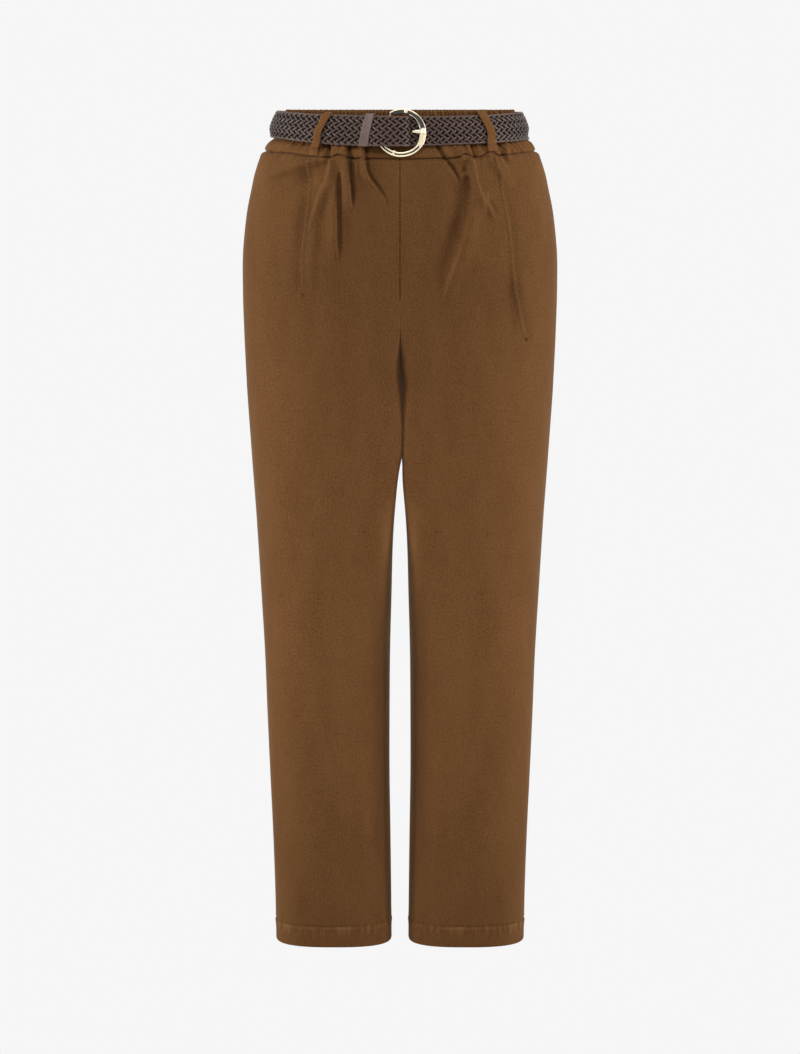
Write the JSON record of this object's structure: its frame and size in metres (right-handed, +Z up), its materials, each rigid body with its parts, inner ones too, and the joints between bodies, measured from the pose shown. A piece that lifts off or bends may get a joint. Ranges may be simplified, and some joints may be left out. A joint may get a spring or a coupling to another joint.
{
  "type": "paperbag waist trousers",
  "caption": "Long straight trousers with a gathered paperbag waist, slant pockets and a braided belt with a round ring buckle, hollow and filled out as worn.",
  "frame": {"origin": "middle of the waist opening, level with the belt, where the wearer holds the trousers up", "axes": "+Z up out of the waist, -Y to the front with the buckle, +X to the wearer's left"},
  "size_m": [0.3708, 0.2382, 1.0053],
  "materials": {
    "cloth": "fine brushed brown cotton with a faint vertical rib",
    "braid": "dark brown leather strands, braided",
    "belt_leather": "smooth grey brown leather",
    "buckle_metal": "polished pale gold with black enamel inlays"
  },
  "bodies": {
    "root": {"front_panel_right": "cloth", "front_panel_left": "cloth", "back_panel_right": "cloth", "back_panel_left": "cloth", "pocket_facing_right": "cloth", "pocket_facing_left": "cloth", "waistband_front": "cloth", "waistband_back": "cloth", "belt_loop_front_right": "cloth", "belt_loop_front_left": "cloth", "belt_loop_side_right": "cloth", "belt_loop_side_left": "cloth", "belt_loop_centre_back": "cloth", "belt_strap": "braid", "belt_keeper": "belt_leather", "buckle_ring": "buckle_metal", "buckle_prong": "buckle_metal"}
  },
  "joints": []
}
